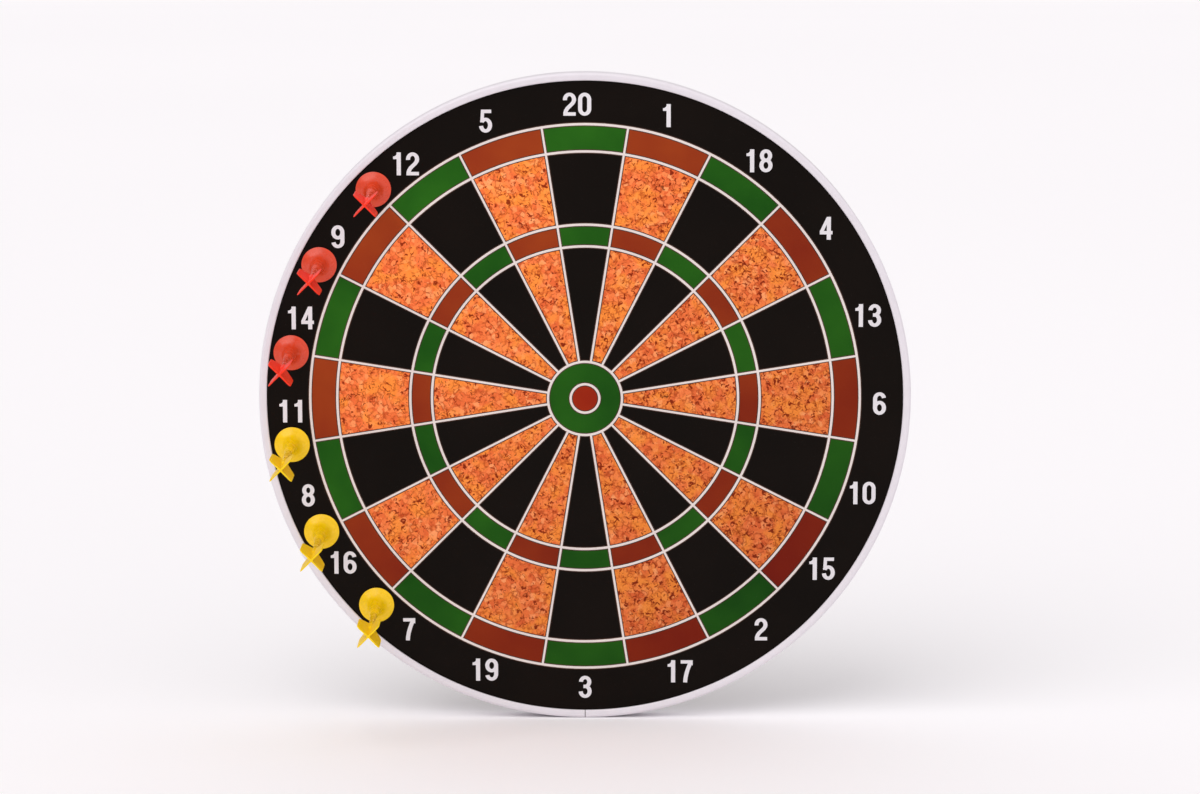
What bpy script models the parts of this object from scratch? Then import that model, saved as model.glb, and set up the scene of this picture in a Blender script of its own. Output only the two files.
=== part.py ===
"""Magnetic dartboard with six magnetic darts, hung on a wall by the ring on its back.

Metres, +Z up. The playing face looks along -Y and the wall is at +Y. The origin is the point inside the top of the
hanging ring where a hook carries the board.
"""

import math

import bmesh
import bpy
from mathutils import Matrix, Vector

MM = 0.001
GAP = 0.3 * MM  # between pieces that touch

# Board
BOARD_RADIUS = 200 * MM
BOARD_SEGMENTS = 120
RIM_DEPTH = 16 * MM
RIM_WALL = 2.0 * MM
RIM_LIP = 1.6 * MM  # thickness of the rim's two lips
RIM_BAND = 4.8 * MM  # width of the lip that shows round the playing face
RIM_REAR_BAND = 7.0 * MM
RIM_FRONT_EDGE = 2.0 * MM  # radii of the rim's rounded edges
RIM_REAR_EDGE = 1.2 * MM
RIM_INNER_EDGE = 0.9 * MM
FILM_THICKNESS = 0.4 * MM
STEEL_THICKNESS = 0.6 * MM
BACK_THICKNESS = 1.0 * MM
LAYER_RADIUS = BOARD_RADIUS - RIM_WALL - GAP
LAYER_GAPS = 5
CORE_THICKNESS = (
    RIM_DEPTH - 2 * RIM_LIP - LAYER_GAPS * GAP - FILM_THICKNESS - STEEL_THICKNESS - BACK_THICKNESS
)

# Hanger: a D-shaped wire ring whose straight bar turns in a folded strap
WIRE_RADIUS = 1.25 * MM
RING_HALF_WIDTH = 8.0 * MM  # to the middle of the wire
RING_LEG = 8.0 * MM
RING_CORNER = 2.0 * MM
RING_LEAN = math.radians(3)  # the ring stands with its top towards the board
RING_REACH = RING_LEG + RING_HALF_WIDTH - WIRE_RADIUS  # from the bar's axis to the inside of the ring's top
STRAP_SHEET = 0.8 * MM
STRAP_WIDTH = 12 * MM
STRAP_LENGTH = 25 * MM
LOOP_BORE = WIRE_RADIUS + 0.35 * MM
LOOP_RADIUS = LOOP_BORE + STRAP_SHEET
LOOP_SEGMENTS = 16
SCREW_DROPS = (9 * MM, 19 * MM)  # below the bar's axis
SCREW_HEAD_RADIUS = 3.2 * MM
SCREW_HEAD_HEIGHT = 1.5 * MM
SCREW_RADIUS = 1.5 * MM
SCREW_LENGTH = 9 * MM
SCREW_POINT = 2 * MM
SCREW_SEGMENTS = 16

# Bumpers
BUMPER_RADIUS = 7 * MM
BUMPER_HEIGHT = 6 * MM
BUMPER_CIRCLE = 165 * MM
BUMPER_ANGLES = (45, 135, 225, 315)
BUMPER_SEGMENTS = 24
BUMPER_EDGE = 0.8 * MM

# Darts: distances are measured from the cup's front face, along the stem
DART_LENGTH = 100 * MM
CUP_RADIUS = 10.8 * MM
CUP_LIP = 0.9 * MM
CUP_EDGE = 0.6 * MM  # how far the cup's front edge is drawn in
FLARE_LENGTH = 2.9 * MM  # over which the trumpet's flare shrinks to 37%
FLARE_END = 12 * MM
FLARE_STEPS = 5
GRIP_END = 36 * MM
STEM_STATIONS = (  # distance from the face, radius
    (0 * MM, 3.8 * MM),
    (24 * MM, 2.95 * MM),
    (GRIP_END, 2.15 * MM),
    (65 * MM, 1.3 * MM),
)
GRIP_START = 25 * MM
GRIP_PITCH = 2.4 * MM
GRIP_RINGS = 4
GRIP_HEIGHT = 0.2 * MM
FLIGHT_START = 65 * MM
FLIGHT_HALF_WIDTH = 9.35 * MM
FLIGHT_TAPER = 10.5 * MM
FLIGHT_CORNER = 3 * MM
FLIGHT_NOTCH = 2.2 * MM
FLIGHT_THICKNESS = 0.9 * MM
SOCKET_LENGTH = 14 * MM
SOCKET_RADIUS = 1.95 * MM
SOCKET_BORE = 1.3 * MM
SOCKET_SEGMENTS = 12
TAIL_PIN_LENGTH = 11 * MM
MAGNET_RADIUS = 5.25 * MM
MAGNET_THICKNESS = 2.4 * MM
MAGNET_RECESS = 0.3 * MM  # the magnet's face sits this far inside the cup's face
DART_SEGMENTS = 20
MAGNET_SEGMENTS = 24
DART_CIRCLE = 182.2 * MM  # in the middle of the black number ring
DART_FIRST_ANGLE = 315  # clockwise from the top, between the numbers 12 and 9
DART_STEP = -18  # one number's width anticlockwise
DART_COLOURS = ("red", "red", "red", "yellow", "yellow", "yellow")
VANE_ANGLE = math.radians(45)  # the vanes stand in an X, which leaves the numbers clear

# Places in the world
BAR_Z = -RING_REACH * math.cos(RING_LEAN)
BAR_Y = RING_REACH * math.sin(RING_LEAN)
BACK_Y = BAR_Y - GAP - LOOP_RADIUS  # the back sheet's rear face
REAR_Y = BACK_Y + GAP + RIM_LIP  # the rim's rear face
CENTRE_Z = -172 * MM
CORE_REAR_Y = BACK_Y - BACK_THICKNESS - GAP
STEEL_REAR_Y = CORE_REAR_Y - CORE_THICKNESS - GAP
FILM_REAR_Y = STEEL_REAR_Y - STEEL_THICKNESS - GAP
FACE_Y = FILM_REAR_Y - FILM_THICKNESS

TO_FRONT = (math.pi / 2, 0, 0)  # turns local +Z to -Y
TO_WALL = (-math.pi / 2, 0, 0)  # turns local +Z to +Y
SMOOTH_ANGLE = math.radians(40)
NO_MERGE = 0.00001

# Colours are sRGB 0-255, then roughness and metallic
MATERIALS = {
    "rim_plastic": ((226, 220, 226), 0.35, 0.0),
    "printed_film": ((27, 23, 20), 0.3, 0.0),
    "sheet_steel": ((176, 178, 180), 0.35, 1.0),
    "fibreboard": ((158, 122, 84), 0.9, 0.0),
    "backing_card": ((120, 112, 102), 0.85, 0.0),
    "zinc_steel": ((186, 188, 190), 0.3, 1.0),
    "rubber": ((30, 30, 31), 0.8, 0.0),
    "magnet": ((150, 150, 154), 0.35, 1.0),
    "red_barrel": ((207, 86, 62), 0.3, 0.0),
    "red_flight": ((247, 71, 48), 0.4, 0.0),
    "yellow_barrel": ((254, 191, 4), 0.3, 0.0),
    "yellow_flight": ((254, 191, 4), 0.4, 0.0),
}


def linear(channel):
    """An sRGB channel, 0-255, as linear light."""
    share = channel / 255
    return share / 12.92 if share <= 0.04045 else ((share + 0.055) / 1.055) ** 2.4


def make_material(name):
    colour, roughness, metallic = MATERIALS[name]
    material = bpy.data.materials.new(name)
    material.use_nodes = True
    shader = material.node_tree.nodes["Principled BSDF"]
    shader.inputs["Base Color"].default_value = [linear(c) for c in colour] + [1]
    shader.inputs["Roughness"].default_value = roughness
    shader.inputs["Metallic"].default_value = metallic
    return material


def new_collection(name):
    collection = bpy.data.collections.new(name)
    bpy.context.scene.collection.children.link(collection)
    return collection


def place(obj, collection, location=(0, 0, 0), rotation=(0, 0, 0), parent=None):
    obj.location = location
    obj.rotation_euler = rotation
    obj.parent = parent
    collection.objects.link(obj)
    return obj


def fillet(before, corner, after, radius, steps):
    """The points of an arc that rounds a corner of an outline."""
    corner = Vector(corner)
    back = (Vector(before) - corner).normalized()
    on = (Vector(after) - corner).normalized()
    half_angle = back.angle(on) / 2
    centre = corner + (back + on).normalized() * radius / math.sin(half_angle)
    start = corner + back * radius / math.tan(half_angle) - centre
    end = corner + on * radius / math.tan(half_angle) - centre
    sweep = start.angle_signed(end)
    turned = []
    for step in range(steps + 1):
        angle = -sweep * step / steps
        x = start.x * math.cos(angle) - start.y * math.sin(angle)
        y = start.x * math.sin(angle) + start.y * math.cos(angle)
        turned.append((centre.x + x, centre.y + y))
    return turned


def rounded_outline(corners, steps=3):
    """A closed outline from (x, y, radius) corners, each rounded where its radius isn't 0."""
    outline = []
    for i, (x, y, radius) in enumerate(corners):
        if radius == 0:
            outline.append((x, y))
            continue
        before = corners[i - 1][:2]
        after = corners[(i + 1) % len(corners)][:2]
        outline.extend(fillet(before, (x, y), after, radius, steps))
    return outline


def evaluated_mesh(obj):
    """The object's mesh with its modifiers applied and its loose caps welded, shaded smooth but for sharp edges."""
    mesh = bpy.data.meshes.new_from_object(obj.evaluated_get(bpy.context.evaluated_depsgraph_get()))
    bm = bmesh.new()
    bm.from_mesh(mesh)
    bmesh.ops.remove_doubles(bm, verts=bm.verts, dist=NO_MERGE)
    bm.to_mesh(mesh)
    bm.free()
    mesh.shade_smooth()
    mesh.set_sharp_from_angle(angle=SMOOTH_ANGLE)
    return mesh


def baked(obj, name):
    """Replaces a temporary object, curve or mesh, by the mesh that it evaluates to."""
    bpy.context.scene.collection.objects.link(obj)
    bpy.context.view_layer.update()
    mesh = evaluated_mesh(obj)
    mesh.name = name
    bpy.data.objects.remove(obj)
    return mesh


def turned_mesh(name, profile, segments, closed=False):
    """A profile of (radius, height) points, running down its outer side, turned round local Z."""
    mesh = bpy.data.meshes.new(name)
    edges = [(i, i + 1) for i in range(len(profile) - 1)]
    if closed:
        edges.append((len(profile) - 1, 0))
    mesh.from_pydata([(radius, 0, height) for radius, height in profile], edges, [])
    obj = bpy.data.objects.new(name, mesh)
    screw = obj.modifiers.new("Turn", "SCREW")
    screw.steps = segments
    screw.render_steps = segments
    screw.use_merge_vertices = True
    screw.merge_threshold = NO_MERGE
    return baked(obj, name)


def cylinder_mesh(name, radius, height, segments):
    """A cylinder that stands on local z = 0."""
    mesh = bpy.data.meshes.new(name)
    bm = bmesh.new()
    bmesh.ops.create_cone(
        bm, cap_ends=True, segments=segments, radius1=radius, radius2=radius, depth=height
    )
    bmesh.ops.translate(bm, verts=bm.verts, vec=(0, 0, height / 2))
    bm.to_mesh(mesh)
    bm.free()
    mesh.shade_smooth()
    mesh.set_sharp_from_angle(angle=SMOOTH_ANGLE)
    return mesh


def flat_mesh(name, outlines, thickness):
    """Closed outlines in local XY, the later ones holes in the first, made a plate centred on local z = 0."""
    curve = bpy.data.curves.new(name, "CURVE")
    curve.dimensions = "2D"
    curve.fill_mode = "BOTH"
    curve.extrude = thickness / 2
    for outline in outlines:
        spline = curve.splines.new("POLY")
        spline.points.add(len(outline) - 1)
        for point, (x, y) in zip(spline.points, outline):
            point.co = (x, y, 0, 1)
        spline.use_cyclic_u = True
    return baked(bpy.data.objects.new(name, curve), name)


def add_boolean(obj, cutter, operation):
    boolean = obj.modifiers.new(cutter.name, "BOOLEAN")
    boolean.operation = operation
    boolean.object = cutter
    boolean.solver = "EXACT"


def add_bevel(obj, width, segments):
    bevel = obj.modifiers.new("Bevel", "BEVEL")
    bevel.width = width
    bevel.segments = segments
    bevel.limit_method = "ANGLE"
    bevel.angle_limit = math.radians(60)


class Builder:
    """Adds the sub-parts to their collections, each with its own material."""

    def __init__(self):
        self.parts = new_collection("magnetic_dartboard")
        self.cutters = new_collection("cutters")
        self.materials = {name: make_material(name) for name in MATERIALS}

    def part(self, name, mesh, material, location, rotation=(0, 0, 0), parent=None):
        """An object of the mesh, which others may share, with its material in a slot of its own."""
        if not mesh.materials:
            mesh.materials.append(None)
        obj = bpy.data.objects.new(name, mesh)
        obj.material_slots[0].link = "OBJECT"
        obj.material_slots[0].material = self.materials[material]
        return place(obj, self.parts, location, rotation, parent)

    def cutter(self, name, mesh, location=(0, 0, 0), rotation=(0, 0, 0)):
        obj = place(bpy.data.objects.new(name, mesh), self.cutters, location, rotation)
        obj.hide_render = True
        obj.display_type = "WIRE"
        return obj

    def joint_axis(self, name, location, rotation):
        """An empty whose local Z lies along a joint's axis."""
        empty = bpy.data.objects.new(name, None)
        empty.empty_display_size = 10 * MM
        return place(empty, self.parts, location, rotation)


def rim_mesh():
    """A channel that wraps the edges of the board's layers: local z = 0 is its rear face."""
    corners = [
        (BOARD_RADIUS, RIM_DEPTH, RIM_FRONT_EDGE),
        (BOARD_RADIUS, 0, RIM_REAR_EDGE),
        (BOARD_RADIUS - RIM_REAR_BAND, 0, 0),
        (BOARD_RADIUS - RIM_REAR_BAND, RIM_LIP, 0),
        (BOARD_RADIUS - RIM_WALL, RIM_LIP, 0),
        (BOARD_RADIUS - RIM_WALL, RIM_DEPTH - RIM_LIP, 0),
        (BOARD_RADIUS - RIM_BAND, RIM_DEPTH - RIM_LIP, 0),
        (BOARD_RADIUS - RIM_BAND, RIM_DEPTH, RIM_INNER_EDGE),
    ]
    return turned_mesh("rim", rounded_outline(corners), BOARD_SEGMENTS, closed=True)


def add_layer(builder, name, material, rear_y, thickness):
    mesh = cylinder_mesh(name, LAYER_RADIUS, thickness, BOARD_SEGMENTS)
    return builder.part(name, mesh, material, (0, rear_y, CENTRE_Z), TO_FRONT)


def add_board(builder):
    builder.part("rim", rim_mesh(), "rim_plastic", (0, REAR_Y, CENTRE_Z), TO_FRONT)
    add_layer(builder, "print_film", "printed_film", FILM_REAR_Y, FILM_THICKNESS)
    add_layer(builder, "steel_sheet", "sheet_steel", STEEL_REAR_Y, STEEL_THICKNESS)
    core = add_layer(builder, "core_board", "fibreboard", CORE_REAR_Y, CORE_THICKNESS)
    back = add_layer(builder, "back_sheet", "backing_card", BACK_Y, BACK_THICKNESS)
    return core, back


def strap_mesh():
    """The folded strap seen from its side: local x runs off the board's back and local y runs up from the bar."""
    middle = GAP + LOOP_RADIUS
    folded = 2 * STRAP_SHEET
    outline = [(GAP + folded, -STRAP_LENGTH), (GAP, -STRAP_LENGTH)]
    last_angle = -math.acos((GAP + folded - middle) / LOOP_RADIUS)
    for step in range(LOOP_SEGMENTS + 1):
        angle = math.pi + (last_angle - math.pi) * step / LOOP_SEGMENTS
        outline.append((middle + LOOP_RADIUS * math.cos(angle), LOOP_RADIUS * math.sin(angle)))
    bore = []
    for step in range(LOOP_SEGMENTS):
        angle = 2 * math.pi * step / LOOP_SEGMENTS
        bore.append((middle + LOOP_BORE * math.cos(angle), LOOP_BORE * math.sin(angle)))
    return flat_mesh("hanger_strap", [outline, bore], STRAP_WIDTH)


def ring_mesh():
    """The wire ring, with its bar along local X and its round end along local +Y."""
    half = RING_HALF_WIDTH
    arcs = [  # centre, radius, first and last angle in degrees, steps
        (-half + RING_CORNER, RING_CORNER, RING_CORNER, 180, 270, 3),
        (half - RING_CORNER, RING_CORNER, RING_CORNER, 270, 360, 3),
        (0, RING_LEG, half, 0, 180, 12),
    ]
    curve = bpy.data.curves.new("hanger_ring", "CURVE")
    curve.dimensions = "3D"
    curve.bevel_depth = WIRE_RADIUS
    curve.bevel_resolution = 2
    points = []
    for x, y, radius, first, last, steps in arcs:
        for step in range(steps + 1):
            angle = math.radians(first + (last - first) * step / steps)
            points.append((x + radius * math.cos(angle), y + radius * math.sin(angle)))
    spline = curve.splines.new("POLY")
    spline.points.add(len(points) - 1)
    for point, (x, y) in zip(spline.points, points):
        point.co = (x, y, 0, 1)
    spline.use_cyclic_u = True
    return baked(bpy.data.objects.new("hanger_ring", curve), "hanger_ring")


def screw_mesh():
    """A pan-head screw with its head on local z = 0 and its point at -z."""
    profile = [(0, SCREW_HEAD_HEIGHT)]
    for degrees in (60, 30, 0):
        angle = math.radians(degrees)
        profile.append((SCREW_HEAD_RADIUS * math.cos(angle), SCREW_HEAD_HEIGHT * math.sin(angle)))
    profile += [
        (SCREW_RADIUS, 0),
        (SCREW_RADIUS, SCREW_POINT - SCREW_LENGTH),
        (0, -SCREW_LENGTH),
    ]
    return turned_mesh("hanger_screw", profile, SCREW_SEGMENTS)


def add_hanger(builder, core, back):
    """The strap, the ring that turns in it, and the two screws, with the holes that the screws pass through."""
    strap = builder.part(
        "hanger_strap", strap_mesh(), "zinc_steel", (0, BACK_Y, BAR_Z), (math.pi / 2, 0, math.pi / 2)
    )
    builder.part(
        "hanger_ring",
        ring_mesh(),
        "zinc_steel",
        (0, BAR_Y, BAR_Z),
        (math.pi / 2 + RING_LEAN, 0, 0),
    )
    screw = screw_mesh()
    hole = cylinder_mesh("screw_hole", SCREW_RADIUS + GAP, 2 * SCREW_LENGTH, SCREW_SEGMENTS)
    seat_y = BACK_Y + GAP + 2 * STRAP_SHEET + GAP
    hole_end_y = seat_y - SCREW_LENGTH - GAP
    for number, drop in enumerate(SCREW_DROPS, start=1):
        z = BAR_Z - drop
        builder.part(f"hanger_screw_{number}", screw, "zinc_steel", (0, seat_y, z), TO_WALL)
        cutter = builder.cutter(f"screw_hole_{number}", hole, (0, hole_end_y, z), TO_WALL)
        for holder in (strap, core, back):
            add_boolean(holder, cutter, "DIFFERENCE")


def add_bumpers(builder):
    mesh = cylinder_mesh("bumper", BUMPER_RADIUS, BUMPER_HEIGHT, BUMPER_SEGMENTS)
    for number, angle in enumerate(BUMPER_ANGLES, start=1):
        x = BUMPER_CIRCLE * math.sin(math.radians(angle))
        z = CENTRE_Z + BUMPER_CIRCLE * math.cos(math.radians(angle))
        bumper = builder.part(f"bumper_{number}", mesh, "rubber", (x, BACK_Y + GAP, z), TO_WALL)
        add_bevel(bumper, BUMPER_EDGE, 2)


def stem_radius(distance):
    """The stem's radius at a distance from the cup's face, without the flare and the grip rings."""
    for (near, near_radius), (far, far_radius) in zip(STEM_STATIONS, STEM_STATIONS[1:]):
        if distance <= far:
            share = (distance - near) / (far - near)
            return near_radius + share * (far_radius - near_radius)
    return STEM_STATIONS[-1][1]


def flare_radius(distance):
    """The trumpet's radius, which falls to the stem's as an exponential."""
    flare = CUP_RADIUS - stem_radius(CUP_LIP)
    return stem_radius(distance) + flare * math.exp((CUP_LIP - distance) / FLARE_LENGTH)


def barrel_mesh():
    """The cup, its magnet pocket, the stem, the grip rings and the pin that the flight is pushed onto."""
    shoulder = FLIGHT_START - GAP
    pin_radius = SOCKET_BORE - GAP
    tip = FLIGHT_START + TAIL_PIN_LENGTH
    profile = [(0, tip), (pin_radius, tip), (pin_radius, shoulder), (stem_radius(shoulder), shoulder)]
    profile.append((stem_radius(GRIP_END), GRIP_END))
    for ring in reversed(range(GRIP_RINGS)):
        middle = GRIP_START + (ring + 0.5) * GRIP_PITCH
        profile.append((stem_radius(middle) + GRIP_HEIGHT, middle))
        foot = middle - GRIP_PITCH / 2
        profile.append((stem_radius(foot) - GRIP_HEIGHT, foot))
    for step in range(FLARE_STEPS + 1):
        share = 1 - step / FLARE_STEPS
        distance = CUP_LIP + (FLARE_END - CUP_LIP) * share * share
        profile.append((flare_radius(distance), distance))
    pocket_radius = MAGNET_RADIUS + GAP
    pocket_depth = MAGNET_RECESS + MAGNET_THICKNESS + GAP
    profile.append((CUP_RADIUS - CUP_EDGE, 0))
    profile.append((pocket_radius, 0))
    profile.append((pocket_radius, pocket_depth))
    profile.append((0, pocket_depth))
    return turned_mesh("dart_barrel", profile, DART_SEGMENTS)


def vane_mesh():
    """One flat pair of vanes in local XZ, with the dart's axis along local +Z."""
    width = FLIGHT_HALF_WIDTH
    half = [
        (SOCKET_RADIUS, FLIGHT_START, 0),
        (width, FLIGHT_START + FLIGHT_TAPER, FLIGHT_CORNER),
        (width, DART_LENGTH, FLIGHT_CORNER),
        (0, DART_LENGTH - FLIGHT_NOTCH, 0),
    ]
    mirrored = [(-x, y, radius) for x, y, radius in reversed(half[:-1])]
    mesh = flat_mesh("vanes", [rounded_outline(half + mirrored)], FLIGHT_THICKNESS)
    mesh.transform(Matrix.Rotation(math.pi / 2, 4, "X"))
    return mesh


def flight_mesh(builder):
    """Two pairs of vanes crossed on a socket, along local Z."""
    vanes = vane_mesh()
    crossed = builder.cutter("crossed_vanes", vanes, rotation=(0, 0, math.pi / 2))
    sleeve_mesh = cylinder_mesh("sleeve", SOCKET_RADIUS, SOCKET_LENGTH, SOCKET_SEGMENTS)
    sleeve = builder.cutter("sleeve", sleeve_mesh, (0, 0, FLIGHT_START))
    bore_length = TAIL_PIN_LENGTH + 2 * GAP
    bore_mesh = cylinder_mesh("bore", SOCKET_BORE, bore_length, SOCKET_SEGMENTS)
    bore = builder.cutter("bore", bore_mesh, (0, 0, FLIGHT_START - GAP))
    flight = bpy.data.objects.new("flight", vanes)
    add_boolean(flight, crossed, "UNION")
    add_boolean(flight, sleeve, "UNION")
    add_boolean(flight, bore, "DIFFERENCE")
    mesh = baked(flight, "dart_flight")
    for cutter in (crossed, sleeve, bore):
        bpy.data.objects.remove(cutter)
    return mesh


def add_darts(builder):
    """Six darts held by their magnets to the number ring, in the gaps between the numbers."""
    barrel = barrel_mesh()
    flight = flight_mesh(builder)
    magnet = cylinder_mesh("dart_magnet", MAGNET_RADIUS, MAGNET_THICKNESS, MAGNET_SEGMENTS)
    for index, colour in enumerate(DART_COLOURS):
        name = f"dart_{index + 1}"
        angle = math.radians(DART_FIRST_ANGLE + DART_STEP * index)
        x = DART_CIRCLE * math.sin(angle)
        z = CENTRE_Z + DART_CIRCLE * math.cos(angle)
        axis = builder.joint_axis(f"{name}_slide", (x, FACE_Y - GAP, z), (math.pi / 2, VANE_ANGLE, 0))
        builder.part(f"{name}_barrel", barrel, f"{colour}_barrel", (0, 0, 0), parent=axis)
        builder.part(f"{name}_flight", flight, f"{colour}_flight", (0, 0, 0), parent=axis)
        builder.part(f"{name}_magnet", magnet, "magnet", (0, 0, MAGNET_RECESS), parent=axis)


def main():
    for obj in list(bpy.data.objects):
        bpy.data.objects.remove(obj)
    builder = Builder()
    core, back = add_board(builder)
    add_hanger(builder, core, back)
    add_bumpers(builder)
    add_darts(builder)


main()
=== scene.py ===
"""The looks of the magnetic dartboard: printed face, rim, back and six darts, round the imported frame.

Metres, +Z up. The playing face looks along -Y and the wall is at +Y.
"""

import math

import bmesh
import bpy
from mathutils import Matrix, Vector, geometry


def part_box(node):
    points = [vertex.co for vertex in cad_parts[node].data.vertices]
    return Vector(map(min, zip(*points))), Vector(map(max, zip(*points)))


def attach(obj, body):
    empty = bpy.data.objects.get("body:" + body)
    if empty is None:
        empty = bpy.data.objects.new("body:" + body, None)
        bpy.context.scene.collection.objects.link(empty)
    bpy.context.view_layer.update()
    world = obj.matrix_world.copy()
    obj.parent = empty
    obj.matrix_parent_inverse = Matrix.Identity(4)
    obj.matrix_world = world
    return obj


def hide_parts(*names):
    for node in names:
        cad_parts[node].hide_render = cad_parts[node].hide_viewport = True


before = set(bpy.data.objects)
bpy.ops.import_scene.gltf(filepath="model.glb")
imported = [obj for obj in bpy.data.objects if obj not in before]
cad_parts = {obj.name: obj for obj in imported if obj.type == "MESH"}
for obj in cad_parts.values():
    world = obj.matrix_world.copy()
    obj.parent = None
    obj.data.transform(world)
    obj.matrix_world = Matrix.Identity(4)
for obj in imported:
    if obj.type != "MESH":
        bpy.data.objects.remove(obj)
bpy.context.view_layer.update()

MM = 0.001

# Places from the frame
RIM_LOW, RIM_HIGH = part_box("rim")
BOARD_RADIUS = (RIM_HIGH.x - RIM_LOW.x) / 2
CENTRE = (RIM_LOW + RIM_HIGH) / 2
FLOOR_Z = RIM_LOW.z
FACE_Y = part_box("print_film")[0].y
FILM_REAR_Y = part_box("print_film")[1].y
FILM_RADIUS = (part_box("print_film")[1].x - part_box("print_film")[0].x) / 2
TO_FRONT = Matrix.Rotation(math.pi / 2, 4, "X")  # turns local +Z to -Y
TO_WALL = Matrix.Rotation(-math.pi / 2, 4, "X")  # turns local +Z to +Y

# The printed face: radii of the pale rings' middles
BULL = 8.8 * MM
OUTER_BULL = 22.7 * MM
TREBLE_INNER = 93.9 * MM
TREBLE_OUTER = 107.2 * MM
DOUBLE_INNER = 152.0 * MM
DOUBLE_OUTER = 168.6 * MM
RINGS = (BULL, OUTER_BULL, TREBLE_INNER, TREBLE_OUTER, DOUBLE_INNER, DOUBLE_OUTER)
SECTORS = 20
DEGREES_A_SECTOR = 360 // SECTORS
NUMBERS = (  # clockwise from the top, each with the degrees that it is printed off its sector's middle
    (20, -1.5), (1, -2.0), (18, 0.0), (4, 0.5), (13, 1.5),
    (6, 1.0), (10, 1.0), (15, 0.0), (2, -1.0), (17, -1.0),
    (3, 0.0), (19, 2.0), (7, 1.0), (16, 1.5), (8, -1.5),
    (11, -2.5), (14, -2.0), (9, -2.5), (12, -1.0), (5, -1.5),
)
RING_LINE = 1.45 * MM
SPOKE_LINE = 1.3 * MM
OUTLINE = 0.55 * MM  # how far the dark outline shows on each side of a pale line
INK_HEIGHT = 0.06 * MM
INK_SINK = 0.03 * MM  # how far raised ink reaches into the film
NUMBER_CIRCLE = 180.8 * MM
GRAIN_SIZE = 2.9 * MM  # the printed cork's

# Painted light and shade: how much paler each ink is painted at the board's upper left edge than in its
# middle, as though lit from there, and how much darker at the opposite edge, as though in shade: shares of
# its red, green and blue
PAINTED_LIGHT_TOWARDS = Vector((-0.62, 0, 0.78))
FAINT_PAINTED_SHADE = (0.03, 0.03, 0.03)
COLOUR_PAINTED_SHADE = (0.28, 0.28, 0.28)
RED_PAINTED_SHADE = (0.38, 0.7, 0.6)

# Numerals, drawn with a pen of even width in a cell measured in millimetres, then stretched sideways
PEN = 2.1
UPRIGHT_STROKE = 2.5  # the width of an upright stroke once it is stretched
STRETCH = UPRIGHT_STROKE / PEN
CELL_WIDTH = 6.7
CELL_HEIGHT = 14.0
CELL_PITCH = 7.75
CURVE_STEP = 10  # degrees


# ---------------- materials

def srgb(red, green, blue):
    """An sRGB colour, 0-255, as linear RGBA."""
    channels = []
    for value in (red, green, blue):
        share = value / 255
        channels.append(share / 12.92 if share <= 0.04045 else ((share + 0.055) / 1.055) ** 2.4)
    return (*channels, 1.0)


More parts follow.
